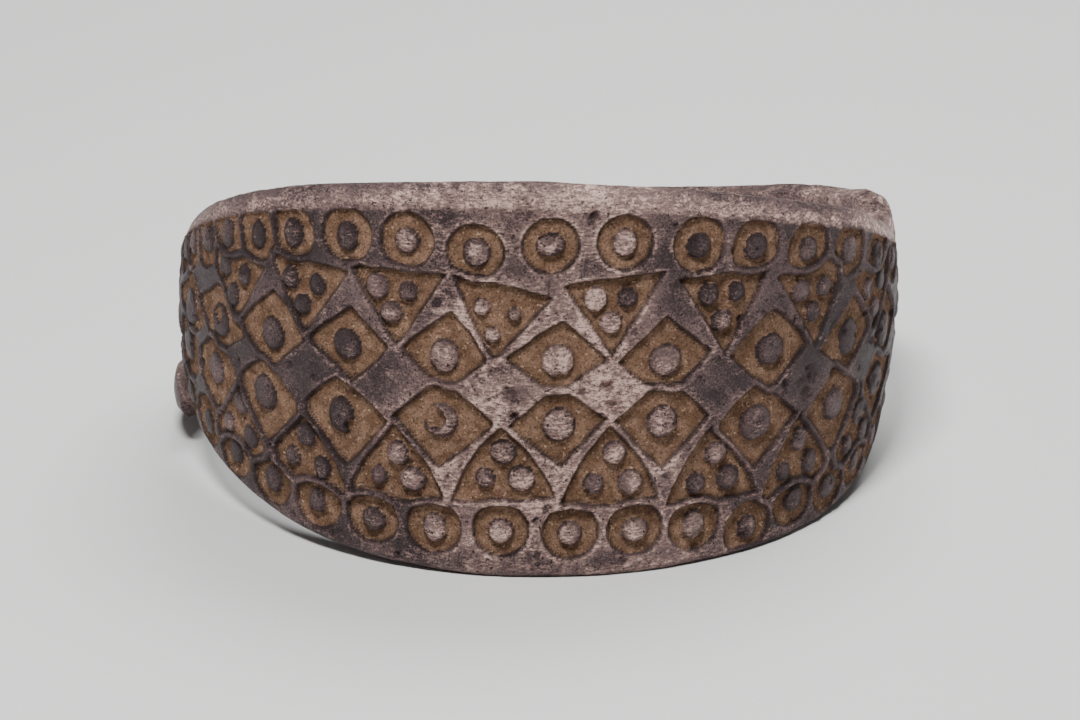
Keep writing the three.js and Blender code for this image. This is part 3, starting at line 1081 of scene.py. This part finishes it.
def wear_and_light_amount(tree, noise):
    """The painted wear with its painted highlights and shade, broken up into patches, streaks and grain."""
    return add(
        tree,
        attribute(tree, "wear_and_painted_light"),
        swing(tree, noise["patches"], WEAR_PATCHES),
        swing(tree, noise["streaks"], WEAR_STREAKS),
        swing(tree, noise["grain"], WEAR_GRAIN),
    )


def metal_colour(tree, noise, wear_and_painted_light):
    # The tarnish is lighter where the map of wear and painted light is higher, which is partly painted light.
    lighter = maths(tree, "MULTIPLY", attribute(tree, "wear_and_painted_light"), WEAR_AND_LIGHT_LIGHTENS)
    lightness = add(tree, noise["broad"], lighter, swing(tree, noise["grain"], LIGHTNESS_GRAIN))
    metal = blend_colour(tree, ramp(tree, lightness, *TARNISH_SPAN), TARNISH_DARK, TARNISH)
    metal = blend_colour(tree, ramp(tree, wear_and_painted_light, *WORN_SPAN), metal, WORN)
    metal = blend_colour(tree, ramp(tree, wear_and_painted_light, *BRIGHT_SPAN), metal, WORN_BRIGHT)
    return blend_colour(tree, ramp(tree, noise["specks"], *PIT_SPAN, 0.0, MOST_PIT), metal, PIT)


def earth_colour(tree, noise):
    dark = ramp(tree, noise["grain"], *SOIL_DARK_SPAN, 0.0, MOST_SOIL_DARK)
    earth = blend_colour(tree, ramp(tree, noise["patches"], *SOIL_PALE_SPAN), SOIL, SOIL_PALE)
    earth = blend_colour(tree, dark, earth, SOIL_DARK)
    return blend_colour(tree, ramp(tree, noise["specks"], *GRIT_SPAN), earth, SOIL_GRIT)


def silver_material():
    """Tarnished silver, worn bright and pitted, with painted highlights and shade in its wear, soil in its
    hollows and grime with painted shade in their corners.
    """
    material = bpy.data.materials.new("old_silver")
    material.use_nodes = True
    tree = material.node_tree
    shader = tree.nodes["Principled BSDF"]
    noise = surface_noises(tree)
    wear_and_painted_light = wear_and_light_amount(tree, noise)
    ragged_soil = add(tree, attribute(tree, "soil"), swing(tree, noise["patches"], SOIL_PATCHES))
    soil = ramp(tree, ragged_soil, *SOIL_SPAN)
    # Grime with painted shade darkens the corners.
    grime_and_shade = maths(tree, "MULTIPLY", attribute(tree, "grime_and_shade"), MOST_GRIME_AND_SHADE)

    bare_colour = blend_colour(tree, soil, metal_colour(tree, noise, wear_and_painted_light), earth_colour(tree, noise))
    feed(tree, shader.inputs["Base Color"], blend_colour(tree, grime_and_shade, bare_colour, GRIME_AND_SHADE))
    metallic = ramp(tree, wear_and_painted_light, *METALLIC_SPAN, *METALLIC)
    feed(tree, shader.inputs["Metallic"], blend_number(tree, soil, metallic, 0.0))
    roughness = blend_number(tree, ramp(tree, noise["patches"], *NOISE_SPAN), *ROUGHNESS)
    feed(tree, shader.inputs["Roughness"], blend_number(tree, soil, roughness, SOIL_ROUGHNESS))
    specular = blend_number(tree, soil, SPECULAR, SOIL_SPECULAR)
    feed(tree, shader.inputs["Specular IOR Level"], specular)

    normal = None
    for name, strength, height in BUMPS:
        normal = bump(tree, noise[name], strength, height * MM, normal)
    feed(tree, shader.inputs["Normal"], normal)
    return material


# ---------------------------------------------------------------- floor, light and camera

# Places and sizes are in metres from here on, but the lens and the sensor are in millimetres.
FLOOR_HALF = 3.0
FLOOR_COLOUR = (0.78, 0.775, 0.765)
FLOOR_ROUGHNESS = 0.6
CAMERA_ELEVATION = 21.7
CAMERA_DISTANCE = 0.483
CAMERA_LENS = 161.3
CAMERA_SENSOR = 36
CAMERA_TARGET = (0.0006, 0.0042, 0.0060)

# Softboxes: name, place, size and watts. All of them face the middle of the ring's height.
SOFTBOXES = [
    ("key_light", (-0.05, -0.2, 0.41), (0.12, 0.09), 2.5),
    ("back_light", (0.08, 0.22, 0.36), (0.3, 0.2), 1.6),
    ("left_light", (-0.4, 0.02, 0.14), (0.16, 0.2), 0.1),
    ("right_light", (0.4, 0.02, 0.14), (0.16, 0.2), 0.1),
]
SOFTBOX_TARGET = (0, 0, 0.018)
STUDIO_COLOUR = (0.86, 0.88, 0.9)
STUDIO_STRENGTH = 0.08


def floor_material():
    material = bpy.data.materials.new("pale_floor")
    material.use_nodes = True
    shader = material.node_tree.nodes["Principled BSDF"]
    shader.inputs["Base Color"].default_value = (*FLOOR_COLOUR, 1)
    shader.inputs["Roughness"].default_value = FLOOR_ROUGHNESS
    return material


def make_floor():
    half = FLOOR_HALF
    mesh = bpy.data.meshes.new("floor")
    corners = [(-half, -half, 0), (half, -half, 0), (half, half, 0), (-half, half, 0)]
    mesh.from_pydata(corners, [], [(0, 1, 2, 3)])
    mesh.materials.append(floor_material())
    floor = bpy.data.objects.new("floor", mesh)
    bpy.context.collection.objects.link(floor)


def aim(thing, target):
    direction = mathutils.Vector(target) - thing.location
    thing.rotation_euler = direction.to_track_quat("-Z", "Y").to_euler()


def softbox(name, place, size, watts):
    data = bpy.data.lights.new(name, "AREA")
    data.shape = "RECTANGLE"
    data.size, data.size_y = size
    data.energy = watts
    lamp = bpy.data.objects.new(name, data)
    lamp.location = place
    bpy.context.collection.objects.link(lamp)
    aim(lamp, SOFTBOX_TARGET)


def make_lights():
    for box in SOFTBOXES:
        softbox(*box)
    world = bpy.data.worlds.new("studio")
    world.use_nodes = True
    sky = world.node_tree.nodes["Background"]
    sky.inputs["Color"].default_value = (*STUDIO_COLOUR, 1)
    sky.inputs["Strength"].default_value = STUDIO_STRENGTH
    bpy.context.scene.world = world


def make_camera():
    data = bpy.data.cameras.new("camera")
    data.lens = CAMERA_LENS
    data.sensor_width = CAMERA_SENSOR
    camera = bpy.data.objects.new("camera", data)
    rise = math.radians(CAMERA_ELEVATION)
    x, y, z = CAMERA_TARGET
    camera.location = (x, y - CAMERA_DISTANCE * math.cos(rise), z + CAMERA_DISTANCE * math.sin(rise))
    bpy.context.collection.objects.link(camera)
    aim(camera, CAMERA_TARGET)
    bpy.context.scene.camera = camera


ring = build_ring()
ring.data.materials.append(silver_material())
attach(ring, "root")
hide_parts("arm_ring")
make_floor()
make_lights()
make_camera()
